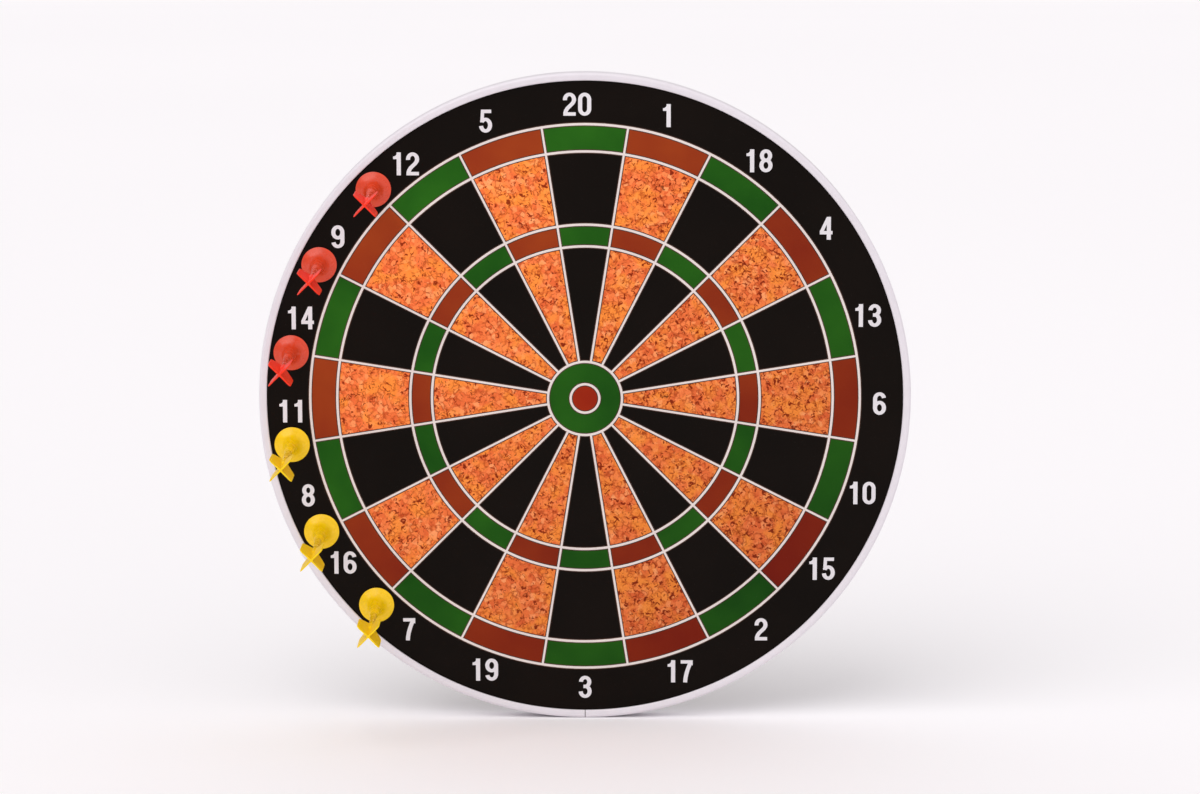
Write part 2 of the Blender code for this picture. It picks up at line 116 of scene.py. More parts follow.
class Finish:
    """A material, with short ways to add the nodes that drive its shader."""

    def __init__(self, name, uniform):
        self.material = bpy.data.materials.new(name)
        self.material.use_nodes = True
        self.tree = self.material.node_tree
        self.shader = self.tree.nodes["Principled BSDF"]
        for socket, value in uniform.items():
            self.shader.inputs[socket].default_value = value
        self.place = self.add("TexCoord").outputs["Object"]

    def feed(self, socket, value):
        """Links another node's output to the socket, or sets its value."""
        if isinstance(value, bpy.types.NodeSocket):
            self.tree.links.new(value, socket)
        else:
            socket.default_value = value

    def add(self, kind, inputs=None, **settings):
        """A new shader node with its settings made and its inputs fed."""
        node = self.tree.nodes.new("ShaderNode" + kind)
        for name, value in settings.items():
            setattr(node, name, value)
        for socket, value in (inputs or {}).items():
            self.feed(node.inputs[socket], value)
        return node

    def noise(self, size, detail=2.0, distortion=0.0, at=None):
        """Smooth noise about 0.5, with blotches about size across."""
        settings = {"Vector": at or self.place, "Scale": 1 / size, "Detail": detail, "Distortion": distortion}
        return self.add("TexNoise", settings).outputs["Fac"]

    def cells(self, size, output="Color", feature="F1", at=None):
        """Random cells about size across: their colours, or the distance to their middles or edges."""
        settings = {"Vector": at or self.place, "Scale": 1 / size}
        return self.add("TexVoronoi", settings, feature=feature).outputs[output]

    def stretched(self, x, y, z):
        """The place, scaled along each axis."""
        node = self.add("VectorMath", {0: self.place, 1: (x, y, z)}, operation="MULTIPLY")
        return node.outputs["Vector"]

    def warped(self, size, amount):
        """The place, pushed about by noise."""
        noise = self.add("TexNoise", {"Vector": self.place, "Scale": 1 / size, "Detail": 1.0})
        middle = (0.5, 0.5, 0.5)
        centred = self.add("VectorMath", {0: noise.outputs["Color"], 1: middle}, operation="SUBTRACT")
        reach = {0: centred.outputs["Vector"], "Scale": 2 * amount}
        scaled = self.add("VectorMath", reach, operation="SCALE")
        moved = self.add("VectorMath", {0: self.place, 1: scaled.outputs["Vector"]}, operation="ADD")
        return moved.outputs["Vector"]

    def span(self, value, low, high, to_low=0.0, to_high=1.0):
        """The value, taken from the range low to high into another one and kept inside it."""
        settings = {"Value": value, "From Min": low, "From Max": high, "To Min": to_low, "To Max": to_high}
        return self.add("MapRange", settings).outputs["Result"]

    def maths(self, operation, first, second):
        return self.add("Math", {0: first, 1: second}, operation=operation).outputs["Value"]

    def mix(self, share, first, second, blend="MIX"):
        """The first colour with a share of the second blended in."""
        node = self.add("Mix", {0: share, 6: first, 7: second}, data_type="RGBA", blend_type=blend)
        return node.outputs[2]

    def ramp(self, value, *stops):
        """A colour that runs through (position, colour) stops."""
        node = self.add("ValToRGB", {"Fac": value})
        elements = node.color_ramp.elements
        while len(elements) < len(stops):
            elements.new(0.5)
        for element, (position, colour) in zip(elements, stops):
            element.position = position
            element.color = colour
        return node.outputs["Color"]

    def faded(self, colour, painted_shade_amount):
        """The colour with painted light and shade: paler towards the board's upper left and darker towards
        its lower right, as though lit from the upper left.
        """
        across = self.add("VectorMath", {0: self.place, 1: PAINTED_LIGHT_TOWARDS}, operation="DOT_PRODUCT")
        middle = PAINTED_LIGHT_TOWARDS.dot(CENTRE)
        share = self.span(across.outputs["Value"], middle - BOARD_RADIUS, middle + BOARD_RADIUS)
        painted_shade_colour = (*(1 - part for part in painted_shade_amount), 1.0)
        painted_light_colour = (*(1 + part for part in painted_shade_amount), 1.0)
        return self.mix(1.0, colour, self.mix(share, painted_shade_colour, painted_light_colour), "MULTIPLY")

    def colour(self, value):
        self.feed(self.shader.inputs["Base Color"], value)

    def roughness(self, value):
        self.feed(self.shader.inputs["Roughness"], value)

    def bump(self, height, depth):
        """Relief as deep as depth where height runs from 0 to 1."""
        node = self.add("Bump", {"Height": height, "Distance": depth})
        self.feed(self.shader.inputs["Normal"], node.outputs["Normal"])


def ink(name, dark, light, painted_shade_amount=FAINT_PAINTED_SHADE):
    """Printed ink under a satin film: faint clouding, rubbed patches, the film's orange peel, and painted
    light and shade across the board.
    """
    finish = Finish(name, {"Specular IOR Level": 0.08})
    clouds = finish.noise(45 * MM, detail=3)
    # painted light and shade: the ink is paler towards the upper left and darker towards the lower right
    tint = finish.faded(finish.ramp(clouds, (0.3, srgb(*dark)), (0.7, srgb(*light))), painted_shade_amount)
    dust = finish.span(finish.noise(0.7 * MM, detail=4), 0.68, 0.8, 0, 0.12)
    finish.colour(finish.mix(dust, tint, srgb(150, 140, 134)))
    rubbed = finish.noise(14 * MM, detail=5, distortion=0.4)
    finish.roughness(finish.span(rubbed, 0.35, 0.7, 0.36, 0.52))
    finish.bump(finish.noise(1.1 * MM, detail=2), 0.006 * MM)
    return finish.material


def cork_print():
    """The printed cork: orange grains in two hues, brown gaps and flecks, with more flecks towards its right
    as painted shade, and painted light and shade that make it paler towards its upper left.
    """
    finish = Finish("cork_print", {"Specular IOR Level": 0.1})
    side = finish.add("SeparateXYZ", {"Vector": finish.place}).outputs["X"]
    rightward_painted_shade_share = finish.span(side, -0.7 * BOARD_RADIUS, 0.7 * BOARD_RADIUS)
    warped = finish.warped(2.6 * MM, 1.2 * MM)
    grains = finish.cells(GRAIN_SIZE, at=warped)
    grain_colour = finish.ramp(
        finish.add("SeparateColor", {"Color": grains}).outputs[0],
        (0.0, srgb(226, 101, 52)),
        (0.4, srgb(240, 119, 62)),
        (0.8, srgb(248, 133, 74)),
        (1.0, srgb(255, 161, 102)),
    )
    patches = finish.span(finish.noise(14 * MM, detail=3, distortion=0.5), 0.45, 0.62, 0, 0.75)
    colour = finish.mix(patches, grain_colour, srgb(252, 148, 56))
    gaps = finish.cells(GRAIN_SIZE, "Distance", "DISTANCE_TO_EDGE", warped)
    open_gaps = finish.span(finish.noise(3 * MM, detail=1), 0.42, 0.6, 0, 0.75)
    gap_share = finish.maths("MULTIPLY", finish.span(gaps, 0.0, 0.2, 1, 0), open_gaps)
    colour = finish.mix(gap_share, colour, srgb(164, 52, 6))
    # painted shade: more dark flecks towards the right, which darkens that side
    spread = finish.span(rightward_painted_shade_share, 0, 1, 0.605, 0.57)
    chips = finish.maths("SUBTRACT", finish.noise(2.5 * MM, detail=2, distortion=1.0), spread)
    flecks = finish.span(chips, 0, 0.05, 0, 0.95)
    colour = finish.mix(flecks, colour, srgb(130, 32, 0))
    knots = finish.span(finish.noise(3.4 * MM, detail=2, distortion=0.8), 0.69, 0.74, 0, 0.8)
    colour = finish.mix(knots, colour, srgb(92, 40, 12))
    grit = finish.span(finish.noise(0.55 * MM, detail=2), 0.3, 0.7, 0.9, 1.08)
    colour = finish.mix(1.0, colour, grit, "MULTIPLY")
    # painted light and shade: paler towards the upper left, darker towards the lower right
    finish.colour(finish.faded(colour, COLOUR_PAINTED_SHADE))
    finish.roughness(finish.span(finish.noise(14 * MM, detail=5), 0.35, 0.7, 0.4, 0.55))
    finish.bump(finish.maths("SUBTRACT", 1.0, flecks), 0.01 * MM)
    return finish.material


def plastic(name, colour, roughness, gloss=0.5, mottling=0.03, grain=0.006 * MM):
    """Injection-moulded plastic: faint flow marks in the colour, uneven gloss and a fine skin."""
    finish = Finish(name, {"Specular IOR Level": gloss})
    base = srgb(*colour)
    darker = tuple(channel * (1 - 4 * mottling) for channel in base[:3]) + (1.0,)
    flow = finish.noise(9 * MM, detail=4, distortion=1.2)
    finish.colour(finish.ramp(flow, (0.25, darker), (0.6, base)))
    finish.roughness(finish.span(finish.noise(5 * MM, detail=4), 0.3, 0.7, roughness - 0.06, roughness + 0.1))
    finish.bump(finish.noise(0.35 * MM, detail=3), grain)
    return finish.material


def metal(name, dark, light, roughness, streaks, metallic=1.0):
    """Bare or plated metal with streaks in its colour, gloss and relief, long where streaks is small."""
    finish = Finish(name, {"Metallic": metallic})
    lines = finish.noise(0.5 * MM, detail=3, at=finish.stretched(*streaks))
    blotches = finish.noise(6 * MM, detail=4, distortion=0.5)
    both = finish.maths("MULTIPLY", finish.maths("ADD", lines, blotches), 0.5)
    finish.colour(finish.ramp(both, (0.3, srgb(*dark)), (0.65, srgb(*light))))
    finish.roughness(finish.span(both, 0.3, 0.7, roughness - 0.08, roughness + 0.14))
    finish.bump(lines, 0.004 * MM)
    return finish.material


def fibre(name, dark, light, speck, size, depth):
    """Card or fibreboard: matted fibres, pale and dark flecks, fully matt."""
    finish = Finish(name, {"Specular IOR Level": 0.15, "Roughness": 0.92})
    along = finish.noise(size, detail=5, distortion=1.5, at=finish.stretched(1, 1, 0.3))
    across = finish.noise(size, detail=5, distortion=1.5, at=finish.stretched(0.3, 1, 1))
    fibres = finish.maths("MULTIPLY", finish.maths("ADD", along, across), 0.5)
    tint = finish.ramp(fibres, (0.35, srgb(*dark)), (0.62, srgb(*light)))
    clouds = finish.span(finish.noise(60 * MM, detail=3), 0.3, 0.7, 0.93, 1.05)
    tint = finish.mix(1.0, tint, clouds, "MULTIPLY")
    flecks = finish.span(finish.noise(1.6 * MM, detail=2, distortion=2.0), 0.66, 0.72, 0, 0.55)
    finish.colour(finish.mix(flecks, tint, srgb(*speck)))
    finish.bump(fibres, depth)
    return finish.material


def rubber():
    """Moulded rubber with a dusty bloom."""
    finish = Finish("rubber", {"Specular IOR Level": 0.35})
    bloom = finish.noise(2.5 * MM, detail=4)
    finish.colour(finish.ramp(bloom, (0.35, srgb(24, 24, 25)), (0.75, srgb(52, 51, 50))))
    finish.roughness(finish.span(bloom, 0.3, 0.7, 0.6, 0.85))
    finish.bump(finish.noise(0.4 * MM, detail=3), 0.02 * MM)
    return finish.material


def floor_finish():
    """A pale, matt sheet with wide clouds that hardly show."""
    finish = Finish("pale_floor", {"Specular IOR Level": 0.1, "Roughness": 0.7})
    clouds = finish.noise(1500 * MM, detail=0)
    finish.colour(finish.ramp(clouds, (0.3, srgb(250, 248, 250)), (0.7, srgb(251, 249, 251))))
    return finish.material


def make_finishes():
    """Every material by name. The colours are sRGB, 0-255."""
    magnet_streaks = (0.4, 1, 0.4)
    card = ((110, 101, 90), (138, 128, 115), (78, 69, 60))
    board = ((132, 98, 64), (176, 140, 98), (92, 64, 40))
    return {
        "black_ink": ink("black_ink", (11, 5, 2), (16, 8, 4)),
        "green_ink": ink("green_ink", (20, 73, 10), (36, 94, 17), COLOUR_PAINTED_SHADE),
        "red_ink": ink("red_ink", (129, 38, 15), (147, 54, 18), RED_PAINTED_SHADE),
        "bull_ink": ink("bull_ink", (143, 31, 10), (161, 46, 14)),
        "line_ink": ink("line_ink", (226, 214, 210), (234, 223, 218)),
        "number_ink": ink("number_ink", (224, 219, 223), (232, 228, 231)),
        "outline_ink": ink("outline_ink", (64, 44, 36), (84, 60, 50)),
        "cork_print": cork_print(),
        "rim_plastic": plastic("rim_plastic", (230, 224, 230), 0.34, mottling=0.008),
        "red_barrel": plastic("red_barrel", (226, 68, 34), 0.24),
        "red_flight": plastic("red_flight", (255, 52, 20), 0.42, gloss=0.3, grain=0.012 * MM),
        "yellow_barrel": plastic("yellow_barrel", (255, 208, 2), 0.24, gloss=0.4),
        "yellow_flight": plastic("yellow_flight", (255, 216, 2), 0.42, gloss=0.3, grain=0.012 * MM),
        "zinc_steel": metal("zinc_steel", (150, 152, 156), (212, 213, 214), 0.3, (1, 1, 0.1)),
        "magnet": metal("magnet", (182, 181, 183), (224, 222, 222), 0.42, magnet_streaks, metallic=0.55),
        "sheet_steel": metal("sheet_steel", (140, 142, 145), (190, 192, 194), 0.36, (0.05, 1, 1)),
        "fibreboard": fibre("fibreboard", *board, 2.5 * MM, 0.08 * MM),
        "backing_card": fibre("backing_card", *card, 1.0 * MM, 0.03 * MM),
        "rubber": rubber(),
    }


# ---------------- meshes

def loft(bm, sections, closed=False, index=0):
    """Skins a row of sections with equal numbers of points, and caps its ends unless it closes up."""
    rows = [[bm.verts.new(point) for point in section] for section in sections]
    pairs = list(zip(rows, rows[1:]))
    if closed:
        pairs.append((rows[-1], rows[0]))
    faces = []
    for near, far in pairs:
        for i in range(len(near)):
            j = (i + 1) % len(near)
            faces.append(bm.faces.new((near[i], near[j], far[j], far[i])))
    if not closed:
        faces.append(bm.faces.new(rows[0]))
        faces.append(bm.faces.new(rows[-1]))
    for face in faces:
        face.material_index = index


def finished_mesh(name, bm, sharp=40):
    """The mesh, with its faces turned outwards and its edges smooth up to an angle in degrees."""
    bmesh.ops.recalc_face_normals(bm, faces=bm.faces)
    mesh = bpy.data.meshes.new(name)
    bm.to_mesh(mesh)
    bm.free()
    mesh.shade_smooth()
    mesh.set_sharp_from_angle(angle=math.radians(sharp))
    return mesh


def circle(radius, height, segments):
    """A ring of points round local Z."""
    points = []
    for step in range(segments):
        angle = 2 * math.pi * step / segments
        points.append((radius * math.cos(angle), radius * math.sin(angle), height))
    return points


def arc(centre, radius, first, last, steps):
    """Points on an arc, its angles in degrees."""
    points = []
    for step in range(steps + 1):
        angle = math.radians(first + (last - first) * step / steps)
        points.append((centre[0] + radius * math.cos(angle), centre[1] + radius * math.sin(angle)))
    return points


def turned_mesh(name, profile, segments, closed=False):
    """A profile of (radius, height) points turned round local Z."""
    bm = bmesh.new()
    loft(bm, [circle(radius, height, segments) for radius, height in profile], closed)
    return finished_mesh(name, bm)


def cut(name, mesh, cutter_mesh):
    """The mesh with the cutter's volume taken out of it."""
    holder = bpy.data.objects.new(name, mesh)
    cutter = bpy.data.objects.new("cutter", cutter_mesh)
    for obj in (holder, cutter):
        bpy.context.scene.collection.objects.link(obj)
    boolean = holder.modifiers.new("Cut", "BOOLEAN")
    boolean.operation = "DIFFERENCE"
    boolean.object = cutter
    boolean.solver = "EXACT"
    bpy.context.view_layer.update()
    result = bpy.data.meshes.new_from_object(holder.evaluated_get(bpy.context.evaluated_depsgraph_get()))
    result.name = name
    for obj in (holder, cutter):
        bpy.data.objects.remove(obj)
    result.shade_smooth()
    result.set_sharp_from_angle(angle=math.radians(40))
    return result


def piece(name, mesh, finish, body, slot, *replaced, matrix=None):
    """An object of the mesh that rides on a CAD body and stands for the CAD nodes given; its slot argument is
    not used.
    """
    if not mesh.materials:
        mesh.materials.append(None)
    obj = bpy.data.objects.new(name, mesh)
    bpy.context.scene.collection.objects.link(obj)
    if finish:
        obj.material_slots[0].link = "OBJECT"
        obj.material_slots[0].material = finish
    if matrix:
        obj.matrix_world = matrix
    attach(obj, body)
    if replaced:
        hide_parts(*replaced)
    return obj


# ---------------- the printed face

FIELD_INKS = ("black_ink", "green_ink", "red_ink", "cork_print", "bull_ink")


def on_face(radius, degrees, height):
    """A point of the playing face: degrees run clockwise from the top, height stands off the film."""
    angle = math.radians(degrees)
    return (CENTRE.x + radius * math.sin(angle), FACE_Y - height, CENTRE.z + radius * math.cos(angle))


def field_ink(band, sector):
    """The place in FIELD_INKS of the ink that fills a field: bands count outwards from the bull."""
    black, green, red, cork, bull = range(len(FIELD_INKS))
    dark = sector % 2 == 0
    if band == 0:
        return bull
    if band == 1:
        return green
    if band in (2, 4):
        return black if dark else cork
    if band in (3, 5):
        return green if dark else red
    return black


def film_mesh(finishes):
    """The film: its front is divided into the fields of the dial, each in its ink."""
    bm = bmesh.new()
    radii = (*RINGS, FILM_RADIUS)
    rows = [[bm.verts.new(on_face(radius, degree, 0)) for degree in range(360)] for radius in radii]
    rear = [bm.verts.new((v.co.x, FILM_REAR_Y, v.co.z)) for v in rows[-1]]
    bm.faces.new(rows[0]).material_index = field_ink(0, 0)
    bm.faces.new(rear).material_index = 0
    for band, (inner, outer) in enumerate(zip(rows, rows[1:]), start=1):
        for degree in range(360):
            after = (degree + 1) % 360
            sector = int((degree + DEGREES_A_SECTOR / 2) // DEGREES_A_SECTOR) % SECTORS
            face = bm.faces.new((inner[degree], inner[after], outer[after], outer[degree]))
            face.material_index = field_ink(band, sector)
    for degree in range(360):
        after = (degree + 1) % 360
        bm.faces.new((rows[-1][degree], rows[-1][after], rear[after], rear[degree]))
    mesh = finished_mesh("print_face", bm)
    for name in FIELD_INKS:
        mesh.materials.append(finishes[name])
    return mesh


def line_mesh(name, spare, height):
    """The rings and spokes of raised ink with sloping edges, each line wider by spare on both sides."""
    bm = bmesh.new()
    half = RING_LINE / 2 + spare
    for radius in RINGS:
        sections = []
        for degree in range(0, 360, 2):
            sections.append([
                on_face(radius - half, degree, -INK_SINK),
                on_face(radius - half, degree, 0.7 * height),
                on_face(radius - half + height, degree, height),
                on_face(radius + half - height, degree, height),
                on_face(radius + half, degree, 0.7 * height),
                on_face(radius + half, degree, -INK_SINK),
            ])
        loft(bm, sections, closed=True)
    half = SPOKE_LINE / 2 + spare
    for sector in range(SECTORS):
        middle = (sector + 0.5) * DEGREES_A_SECTOR
        sideways = Vector(on_face(1, middle + 90, 0)) - Vector(on_face(0, middle + 90, 0))
        sections = []
        for radius in (OUTER_BULL, DOUBLE_OUTER):
            foot = Vector(on_face(radius, middle, -INK_SINK))
            top = Vector(on_face(radius, middle, 0.9 * height))
            sections.append([
                foot - half * sideways,
                top - (half - 0.3 * height) * sideways,
                top + (half - 0.3 * height) * sideways,
                foot + half * sideways,
            ])
        loft(bm, sections)
    return finished_mesh(name, bm)


def pen_arc(x, y, across, up, first, last):
    """Points of an ellipse's arc in a numeral's cell, its angles in degrees."""
    steps = max(2, round(abs(last - first) / CURVE_STEP))
    points = []
    for step in range(steps + 1):
        angle = math.radians(first + (last - first) * step / steps)
        points.append((x + across * math.cos(angle), y + up * math.sin(angle)))
    return points


def numeral(digit):
    """A numeral as (path, closed) pen strokes, and the polygons that no pen draws."""
    middle = CELL_WIDTH / 2
    low = PEN / 2
    high = CELL_HEIGHT - low
    wide = middle - low
    top_bowl = 3.1
    six = [
        (pen_arc(middle, low + 3.3, wide, 3.3, 0, 350), True),
        (pen_arc(middle, high - top_bowl, wide, top_bowl, 12, 180) + [(low, low + 3.3)], False),
    ]
    if digit == 0:
        over = pen_arc(middle, high - top_bowl, wide, top_bowl, 0, 180)
        return [(over + pen_arc(middle, low + top_bowl, wide, top_bowl, 180, 360), True)], []
    if digit == 1:
        stem = [(2.95, 0), (5.1, 0), (5.1, 14), (2.95, 14)]
        flag = [(1.15, 9.9), (3.1, 9.9), (3.6, 14.0), (3.2, 14.0)]
        flag += [(3.0, 13.0), (2.5, 12.1), (1.8, 11.6), (1.15, 11.5)]
        return [], [stem, flag]
    if digit == 2:
        bowl = pen_arc(middle, high - top_bowl, wide, top_bowl, 188, -25)
        tail = [(4.75, 7.3), (3.5, 5.9), (2.3, 4.5), (1.6, 3.2), (1.3, 1.9), (1.25, 0.4)]
        return [(bowl + tail, False), ([(0.2, low), (CELL_WIDTH - 0.15, low)], False)], []
    if digit == 3:
        upper = pen_arc(middle, high - 2.8, wide - 0.15, 2.8, 178, -90)
        lower = pen_arc(middle, low + 3.15, wide, 3.15, 90, -178)
        return [(upper, False), (lower, False), ([(middle - 0.9, 7.3), (middle + 0.6, 7.3)], False)], []
    if digit == 4:
        strokes = [([(0.15, 4.3), (CELL_WIDTH - 0.05, 4.3)], False), ([(4.75, 0), (4.75, 14)], False)]
        return strokes, [[(0.15, 3.3), (1.95, 4.6), (4.4, 11.2), (4.4, 14.0), (3.7, 14.0), (0.15, 5.2)]]
    if digit == 5:
        bowl = pen_arc(middle - 0.05, low + 3.5, wide, 3.5, 148, -172)
        back = [(0.6, 6.2), (2.35, 6.5), (2.65, 12.9), (2.65, 14.0), (1.0, 14.0)]
        return [(bowl, False), ([(1.1, high), (6.2, high)], False)], [back]
    if digit == 7:
        leg = [(5.35, 12.6), (4.6, 10.6), (3.8, 8.0), (3.1, 5.0), (2.7, 2.4), (2.55, 0)]
        corner = [(4.6, 11.85), (6.45, 10.6), (6.45, 14.0), (4.6, 14.0)]
        return [([(0.2, high), (6.45, high)], False), (leg, False)], [corner]
    if digit == 8:
        upper = pen_arc(middle, high - 2.8, wide - 0.2, 2.8, 0, 350)
        lower = pen_arc(middle, low + 3.15, wide, 3.15, 0, 350)
        return [(upper, True), (lower, True)], []
    if digit == 9:
        return [([(CELL_WIDTH - x, CELL_HEIGHT - y) for x, y in path], closed) for path, closed in six], []
    return six, []


def stroke_quads(path, closed):
    """The quads that a pen of even width leaves along a path."""
    points = [Vector(point) for point in path]
    count = len(points)
    sides = []
    for i, point in enumerate(points):
        before = points[i - 1] if closed or i > 0 else point
        after = points[(i + 1) % count] if closed or i < count - 1 else point
        along = (after - before).normalized()
        across = Vector((-along.y, along.x)) * PEN / 2
        sides.append((point + across, point - across))
    pairs = list(zip(sides, sides[1:]))
    if closed:
        pairs.append((sides[-1], sides[0]))
    return [[near[0], near[1], far[1], far[0]] for near, far in pairs]


def numeral_outline(digit):
    """The numeral's area as (points, triangles), its strokes merged into one."""
    strokes, polygons = numeral(digit)
    for path, closed in strokes:
        polygons = polygons + stroke_quads(path, closed)
    points = []
    faces = []
    for polygon in polygons:
        area = sum(a[0] * b[1] - b[0] * a[1] for a, b in zip(polygon, [*polygon[1:], polygon[0]]))
        ordered = polygon if area > 0 else polygon[::-1]
        faces.append(list(range(len(points), len(points) + len(ordered))))
        points.extend(Vector(point) for point in ordered)
    merged_points, _, triangles, _, _, sources = geometry.delaunay_2d_cdt(points, [], faces, 1, 0.001, True)
    return merged_points, [triangle for triangle, source in zip(triangles, sources) if source]


def numbers_mesh():
    """All the numbers of the dial, upright on their circle, in raised ink."""
    bm = bmesh.new()
    for sector, (number, aside) in enumerate(NUMBERS):
        middle = Vector(on_face(NUMBER_CIRCLE, sector * DEGREES_A_SECTOR + aside, INK_HEIGHT))
        placed = []
        for column, digit in enumerate(str(number)):
            points, triangles = numeral_outline(int(digit))
            placed.append(([Vector((point.x + column * CELL_PITCH, point.y)) for point in points], triangles))
        every_x = [point.x for points, _ in placed for point in points]
        shift = (min(every_x) + max(every_x)) / 2
        for points, triangles in placed:
            verts = []
            for point in points:
                x = (point.x - shift) * STRETCH * MM
                z = (point.y - CELL_HEIGHT / 2) * MM
                verts.append(bm.verts.new((middle.x + x, middle.y, middle.z + z)))
            for triangle in triangles:
                bm.faces.new([verts[i] for i in triangle])
    bmesh.ops.dissolve_limit(bm, angle_limit=math.radians(1), verts=bm.verts, edges=bm.edges)
    tops = bm.faces[:]
    borders = [edge.verts[:] for edge in bm.edges if edge.is_boundary]
    down = Vector((0, INK_HEIGHT + INK_SINK, 0))
    below = {vert: bm.verts.new(vert.co + down) for vert in bm.verts[:]}
    for face in tops:
        bm.faces.new([below[vert] for vert in reversed(face.verts)])
    for near, far in borders:
        bm.faces.new((near, far, below[far], below[near]))
    return finished_mesh("dial_numbers", bm)


def add_face(finishes):
    piece("print_face", film_mesh(finishes), None, "board", "printed_film", "print_film")
    outlines = line_mesh("print_outlines", OUTLINE, INK_HEIGHT / 3)
    piece("print_outlines", outlines, finishes["outline_ink"], "board", "printed_film")
    lines = line_mesh("print_lines", 0, INK_HEIGHT)
    piece("print_lines", lines, finishes["line_ink"], "board", "printed_film")
    piece("dial_numbers", numbers_mesh(), finishes["number_ink"], "board", "printed_film")


# ---------------- rim and back

RIM_WALL = 2.0 * MM
RIM_LIP = 1.6 * MM
RIM_BAND = 4.8 * MM
RIM_REAR_BAND = 7.0 * MM
RIM_FRONT_EDGE = 2.0 * MM
RIM_REAR_EDGE = 1.2 * MM
RIM_INNER_EDGE = 0.9 * MM
RIM_JOINT = 0.12  # degrees that the rim's two ends stand apart, at the bottom
RIM_STEPS = 360


def rim_section():
    """The rim's channel as (radius, y) points, its edges rounded."""
    front = RIM_LOW.y
    rear = RIM_HIGH.y
    outer = BOARD_RADIUS
    inner = BOARD_RADIUS - RIM_BAND
    wall = BOARD_RADIUS - RIM_WALL
    points = arc((inner + RIM_INNER_EDGE, front + RIM_INNER_EDGE), RIM_INNER_EDGE, 180, 270, 6)
    points += arc((outer - RIM_FRONT_EDGE, front + RIM_FRONT_EDGE), RIM_FRONT_EDGE, 270, 360, 10)
    points += arc((outer - RIM_REAR_EDGE, rear - RIM_REAR_EDGE), RIM_REAR_EDGE, 0, 90, 6)
    points += [
        (outer - RIM_REAR_BAND, rear),
        (outer - RIM_REAR_BAND, rear - RIM_LIP),
        (wall, rear - RIM_LIP),
        (wall, front + RIM_LIP),
        (inner, front + RIM_LIP),
    ]
    return points


def add_rim(finishes):
    """The rim is one length of channel bent into a hoop, so its two ends meet at the bottom."""
    bm = bmesh.new()
    section = rim_section()
    sections = []
    for step in range(RIM_STEPS + 1):
        degrees = 180 + RIM_JOINT / 2 + (360 - RIM_JOINT) * step / RIM_STEPS
        angle = math.radians(degrees)
        ring = []
        for radius, y in section:
            ring.append((CENTRE.x + radius * math.sin(angle), y, CENTRE.z + radius * math.cos(angle)))
        sections.append(ring)
    loft(bm, sections)
    mesh = finished_mesh("rim_channel", bm, 30)
    piece("rim_channel", mesh, finishes["rim_plastic"], "board", "rim_plastic", "rim")


BUMPER_EDGE = 1.6 * MM
SCREW_HEAD_RADIUS = 3.2 * MM
SCREW_HEAD_HEIGHT = 1.5 * MM
SCREW_RADIUS = 1.5 * MM
SCREW_POINT = 2 * MM
SCREW_TIP_RADIUS = 0.3 * MM
RECESS_HALF_WIDTH = 0.45 * MM
RECESS_DEPTH = 1.0 * MM
RECESS_FLOOR_REACH = 0.9 * MM  # from the screw's axis to the end of an arm
RECESS_TOP_REACH = 2.2 * MM  # the same, where the cutter ends above the head
CUTTER_STANDS_OUT = 0.5 * MM
STRAP_SHEET = 0.8 * MM
STRAP_LENGTH = 25 * MM
STRAP_BEND = 0.8 * MM
STRAP_EDGE = 0.12 * MM
STRAP_THINNING = 0.01 * MM  # off each side of the sheet, so that the two leaves don't meet
HOLE_PLAY = 0.3 * MM
LOOP_STEPS = 40
BEND_STEPS = 8
LOOP_MIDDLE = 2.0 * MM  # from the bar's axis to the middle of the sheet
WIRE_RADIUS = 1.25 * MM
WIRE_SEGMENTS = 20
RING_HALF_WIDTH = 8.0 * MM
RING_LEG = 8.0 * MM
RING_CORNER = 2.0 * MM
RING_LEAN = math.radians(3)


def add_bumpers(finishes):
    for number in range(1, 5):
        node = f"bumper_{number}"
        low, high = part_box(node)
        radius = (high.x - low.x) / 2
        height = high.y - low.y
        profile = [(radius * 0.4, 0), (radius, 0)]
        profile += arc((radius - BUMPER_EDGE, height - BUMPER_EDGE), BUMPER_EDGE, 0, 90, 8)
        profile.append((radius * 0.4, height))
        mesh = turned_mesh(f"{node}_foot", profile, 64)
        place = Matrix.Translation(((low.x + high.x) / 2, low.y, (low.z + high.z) / 2)) @ TO_WALL
        piece(f"{node}_foot", mesh, finishes["rubber"], "board", "rubber", node, matrix=place)


def screw_mesh(length):
    """A pan-head screw with its head on local z = 0, with a cross recess that narrows downwards."""
    profile = [
        (SCREW_TIP_RADIUS, -length),
        (SCREW_RADIUS, SCREW_POINT - length),
        (SCREW_RADIUS, 0),
        (SCREW_HEAD_RADIUS, 0),
    ]
    for degrees in range(0, 90, 9):
        angle = math.radians(degrees)
        profile.append((SCREW_HEAD_RADIUS * math.cos(angle), SCREW_HEAD_HEIGHT * math.sin(angle)))
    ends = (
        (SCREW_HEAD_HEIGHT - RECESS_DEPTH, RECESS_FLOOR_REACH),
        (SCREW_HEAD_HEIGHT + CUTTER_STANDS_OUT, RECESS_TOP_REACH),
    )
    sections = []
    for height, reach in ends:
        half = RECESS_HALF_WIDTH
        arm = [(half, -half), (reach, -half), (reach, half)]
        section = []
        for quarter in range(4):
            turn = Matrix.Rotation(quarter * math.pi / 2, 2)
            for corner in arm:
                x, y = turn @ Vector(corner)
                section.append((x, y, height))
        sections.append(section)
    recess = bmesh.new()
    loft(recess, sections)
    return cut("pan_head_screw", turned_mesh("screw", profile, 48), finished_mesh("recess", recess))


